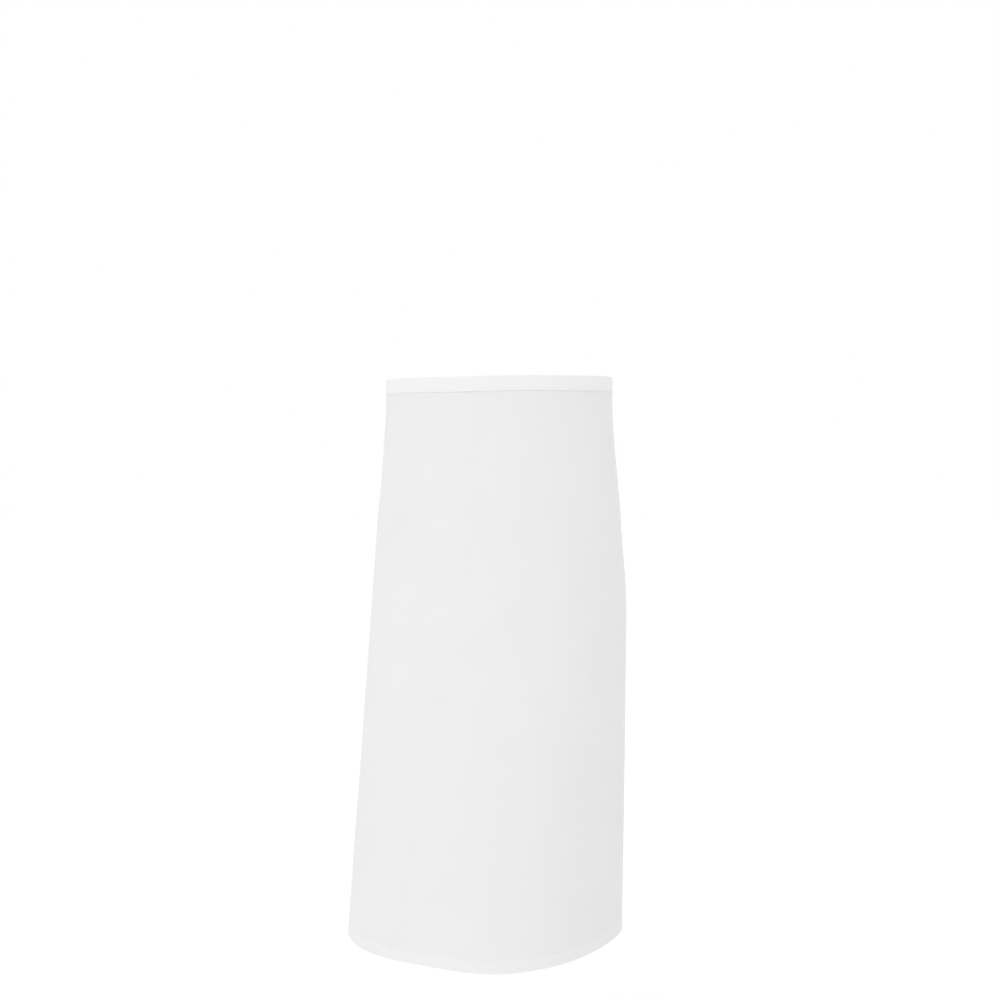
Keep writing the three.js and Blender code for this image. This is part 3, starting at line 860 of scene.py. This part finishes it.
def make_loop(name, side):
    """Out from the knot, over, and back, pinched where the knot grips it."""
    turns = np.linspace(0, 2 * math.pi, 25)
    reach = (1 - np.cos(turns)) / 2
    gap = LOOP_HALF_DEPTH * np.sin(turns) * np.abs(np.sin(turns / 2)) ** 1.1
    opening = LOOP_OPENING * smoothstep(reach * 1.5)
    shares, distances = zip(*LOOP_STAND_OFF)
    stand_off = np.interp(reach, shares, distances) * MM
    x = LOOP_ROOT + (LOOP_TIP - LOOP_ROOT) * reach
    y = stand_off + gap * np.cos(opening) + LOOP_ENDS_APART / 2 * np.cos(turns / 2)
    z = LOOP_ARCH * 4 * reach * (1 - reach) * (0.6 + 0.4 * reach) - gap * np.sin(opening)
    droop_cos, droop_sin = math.cos(LOOP_DROOP), math.sin(LOOP_DROOP)

    def turned(ahead, out, up):
        """From along the loop, out from the back and up, to the part's frame."""
        aside = side * (ahead * droop_cos + up * droop_sin)
        return np.stack([aside, out, up * droop_cos - ahead * droop_sin], axis=-1)

    points = turned(x, y, z) + np.array([0, LOOP_ROOT_Y, KNOT[2]])
    path = StrapPath(points, turned(0 * x, np.sin(opening), np.cos(opening)), steps=170)
    total = path.length[-1]
    at_knot = [(0, 40 * MM, 0.48), (total, 40 * MM, 0.48)]
    loop, surface = strap(name, path, at_knot, seed=41 + side, cup=-side * 1.5 * MM, crease=0.4 * MM)
    middles = row_middles(14 * MM, total - 14 * MM)
    return loop, edge_row(f"{name}_edge_stitches", surface, -EDGE_STITCHES, middles), total


def tail_depth(key, z):
    share = np.clip((TAIL_TOP - z) / TAIL_DRAPE, 0, 1)
    ease = np.sin(share * math.pi / 2)
    return TAIL_TOP_DEPTH[key] * (1 - ease) + TAIL_REST_DEPTH[key] * ease


def tail_path(key, side):
    """Down from inside the knot, hanging free, with the slow waves that a folded strap keeps."""
    in_knot = [TAIL_TOP + 10 * MM, TAIL_TOP + 2 * MM]
    levels = np.concatenate([in_knot, np.linspace(TAIL_TOP - 8 * MM, TAIL_BOTTOM, 21)])
    points, wide = [], []
    for z in levels:
        down = TAIL_TOP - z
        free = smoothstep(down / (120 * MM))
        drawn_in = TAIL_DRAWN_IN * (1 - smoothstep((down + 12 * MM) / (34 * MM)))
        wave = TAIL_WAVE * math.sin(down / (62 * MM) + side) * free
        depth = tail_depth(key, z) + 0.4 * MM * math.sin(down / (40 * MM)) * free
        twist = -TAIL_TWIST * (0.5 - 0.5 * math.cos(down / (70 * MM))) * free
        points.append([side * (TAIL_X - drawn_in) + wave, depth, z])
        wide.append([math.cos(twist), math.sin(twist), 0])
    return StrapPath(points, wide, steps=240)


def make_tail(key, side):
    """The tail, its turned-under end, and the stitches across the end and along the edge."""
    name = f"{key}_tail"
    path = tail_path(key, side)
    end = path.length[-1]
    tail, surface = strap(name, path, [(0, 62 * MM, 0.42)], stitched_side=-side, seed=51 + side)
    fold_places = np.linspace(end - TIE_END_HEM, end + 0.2 * MM, 6)
    fold_path = StrapPath(path.place(fold_places, 0.0, -TIE_END_FOLD), path.wide[-6:], steps=16)
    fold, _ = strap(f"{name}_end_fold", fold_path, seed=71 + side, width=STRAP_WIDTH - 1.4 * MM,
                    crease=0.1 * MM)
    row = end - TIE_END_HEM + ROW_INSET
    across = stitches(f"{name}_end_stitches", [
        lambda s, a, o: surface(row + a, s, o),
        lambda s, a, o: surface(row + a, s, o + TIE_END_FOLD, face=-1),
    ], row_middles(-7.5 * MM, 7.5 * MM))
    middles = row_middles(14 * MM, end - 3 * MM)
    along = edge_row(f"{name}_edge_stitches", surface, -side * EDGE_STITCHES, middles)
    return tail, fold, across, along, end


def ripple(turn, seed):
    """A smooth curve round one turn that ends as it began."""
    phases = np.random.default_rng(seed).uniform(0, 2 * math.pi, 3)
    return sum(np.sin(waves * turn + phase) for waves, phase in zip((2, 3, 5), phases)) / 3


def make_turn(name, half_depth, half_height, tilt, width, pleats, seed):
    """A turn of gathered strap pulled tight round the bundle, which runs from side to side. Its two
    ends meet on the side that faces the wearer."""
    turn = np.linspace(math.pi, 3 * math.pi, 16, endpoint=False)
    y = KNOT[1] + KNOT_SET_BACK + half_depth * np.cos(turn)
    rise = half_height * np.sin(turn) * (1 - 0.06 * np.cos(2 * turn))
    points = np.stack([rise * math.sin(tilt), y, KNOT[2] + rise * math.cos(tilt)], axis=1)
    wide = [[math.cos(tilt), 0, -math.sin(tilt)]] * len(turn)
    path = StrapPath(points, wide, steps=121, closed=True)

    section = strap_section(width, STRAP_THICKNESS, points_per_face=31)
    rest = section[:, 0][None, :] / (width / 2)
    round_turn = math.pi + 2 * math.pi * path.length[:, None] / path.length[-1]
    share = 0.86 + 0.14 * np.cos(2 * round_turn) + 0.04 * ripple(round_turn, seed)
    across = section[:, 0][None, :] * share + 0.5 * MM * ripple(round_turn, seed + 1)
    pleat = np.cos(pleats * math.pi * rest + 0.7 * ripple(round_turn, seed + 2) + seed)
    out = section[:, 1][None, :] + 0.75 * MM * pleat - 2.6 * MM * np.abs(rest) ** 2.5
    out = out + 0.3 * MM * ripple(round_turn, seed + 3)
    along = np.broadcast_to(path.length[:, None], across.shape)
    vertices = path.place(along, across, out)[:-1]
    uvs = np.dstack([along, np.broadcast_to(section[:, 0], along.shape)])[:-1]
    return swept(name, vertices, uvs, STRAP_CLOTH, closed=True)


def make_bundle():
    """The gathered straps inside the knot's turns, which bulge out a little on both sides."""
    reach = BUNDLE_END * np.sin(np.linspace(-1, 1, 31) * math.pi / 2)[:, None]
    turn = np.linspace(0, 2 * math.pi, 56, endpoint=False)[None, :]
    girth = np.sqrt(1 - np.abs(reach) ** 2.4)
    pleats = 1 + 0.07 * np.cos(BUNDLE_PLEATS * turn + 2.2 * reach) + 0.05 * ripple(turn + 0.8 * reach, 71)
    x = BUNDLE_HALF_SIZE[0] * reach + 0 * turn
    y = BUNDLE_HALF_SIZE[1] * girth * pleats * np.cos(turn)
    z = BUNDLE_HALF_SIZE[2] * girth * pleats * np.sin(turn)
    vertices = np.stack([x, y, z], axis=-1) + KNOT + np.array([0, KNOT_SET_BACK, 0])
    uvs = np.stack([x, turn * BUNDLE_HALF_SIZE[1] * girth], axis=-1)
    return swept("knot_bundle", vertices, uvs, STRAP_CLOTH)


def make_knot():
    """Two turns of strap pulled tight round the gathered straps, the second one over the first."""
    under = make_turn("knot_under_turn", *UNDER_TURN, seed=61)
    over = make_turn("knot_over_turn", *OVER_TURN, seed=67)
    return make_bundle(), under, over


def finish_piece(piece, body, node=None):
    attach(piece, body)
    if node:
        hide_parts(node)


def finish_panel():
    """The panel with its hems, waistband, label and stitching, all on the apron's own body."""
    panel = make_panel()
    hems = {
        "bottom_hem": make_bottom_hem(),
        "left_side_hem": make_side_hem("left_side_hem_fold", -1),
        "right_side_hem": make_side_hem("right_side_hem_fold", 1),
    }
    cloth = {"skirt_panel": panel, **hems, "waistband": make_waistband()}
    for node, piece in cloth.items():
        finish_piece(piece, "apron", node)
    finish_piece(make_label(), "apron", "care_label")
    rows = make_panel_stitching()
    for node, piece in rows.items():
        finish_piece(piece, "apron", node)


def finish_knot():
    bundle, under, over = make_knot()
    finish_piece(bundle, "apron")
    finish_piece(under, "apron")
    finish_piece(over, "apron", "bow_knot")


def finish_strap(key, side):
    """One half of the strap: the tie on the apron's body, and the loop and tail on their own."""
    tie, tie_stitches = make_tie(f"{key}_tie_strap", side)
    finish_piece(tie, "apron", f"{key}_tie")
    finish_piece(tie_stitches, "apron")

    loop, loop_stitches, loop_length = make_loop(f"{key}_loop_strap", side)
    finish_piece(loop, f"{key}_loop", f"{key}_bow_loop")
    finish_piece(loop_stitches, f"{key}_loop")

    tail, fold, across, along, tail_length = make_tail(key, side)
    finish_piece(tail, f"{key}_tail", f"{key}_tie_tail")
    finish_piece(fold, f"{key}_tail", f"{key}_tie_end_hem")
    finish_piece(across, f"{key}_tail", f"{key}_tie_end_stitching")
    finish_piece(along, f"{key}_tail", f"{key}_tie_edge_stitching")


finish_panel()
finish_knot()
finish_strap("left", -1)
finish_strap("right", 1)


# === Floor, light and camera
def floor_material():
    nodes = Nodes("pale_floor")
    grain = nodes.noise(nodes.add("ShaderNodeTexCoord").outputs["Object"], 3.0, 3.0)
    nodes.colour(grain, (0.835, 0.835, 0.835), (0.86, 0.86, 0.86))
    nodes.shader.inputs["Roughness"].default_value = 0.9
    return nodes.material


def make_floor():
    half = FLOOR_SIZE / 2
    mesh = bpy.data.meshes.new("floor")
    corners = [(-half, -half), (half, -half), (half, half), (-half, half)]
    mesh.from_pydata([(x, y, -FLOOR_BELOW_WAIST) for x, y in corners], [], [(0, 1, 2, 3)])
    mesh.materials.append(floor_material())
    floor = bpy.data.objects.new("floor", mesh)
    bpy.context.scene.collection.objects.link(floor)


def sun_light(name, from_direction, strength, softness):
    """Light from far away, so that it is the same all over the floor."""
    data = bpy.data.lights.new(name, "SUN")
    data.energy = strength
    data.angle = softness
    lamp = bpy.data.objects.new(name, data)
    lamp.rotation_euler = Vector(from_direction).to_track_quat("Z", "Y").to_euler()
    bpy.context.scene.collection.objects.link(lamp)


def make_light():
    world = bpy.data.worlds.new("studio")
    bpy.context.scene.world = world
    world.use_nodes = True
    background = world.node_tree.nodes["Background"]
    background.inputs["Color"].default_value = (1, 1, 1, 1)
    background.inputs["Strength"].default_value = 1.0
    sun_light("key_left", (-0.74, -0.85, 0.45), 0.55, math.radians(50))
    sun_light("fill_right", (0.85, -0.6, 0.3), 0.16, math.radians(60))
    sun_light("from_behind", (0.3, 1, 0.4), 0.22, math.radians(30))
    sun_light("overhead", (0.05, 0.1, 1), 0.4, math.radians(70))


def make_camera():
    data = bpy.data.cameras.new("camera")
    data.sensor_width = SENSOR_WIDTH
    data.lens = SENSOR_WIDTH * FOCAL_PER_WIDTH
    data.clip_start, data.clip_end = 0.05, 60
    camera = bpy.data.objects.new("camera", data)
    camera.location = (CAMERA_ASIDE, -CAMERA_DISTANCE, -CAMERA_DROP)
    camera.rotation_euler = (math.pi / 2 - CAMERA_PITCH, 0, 0)
    bpy.context.scene.collection.objects.link(camera)
    bpy.context.scene.camera = camera


make_floor()
make_light()
make_camera()
bpy.context.scene.view_settings.view_transform = "Standard"
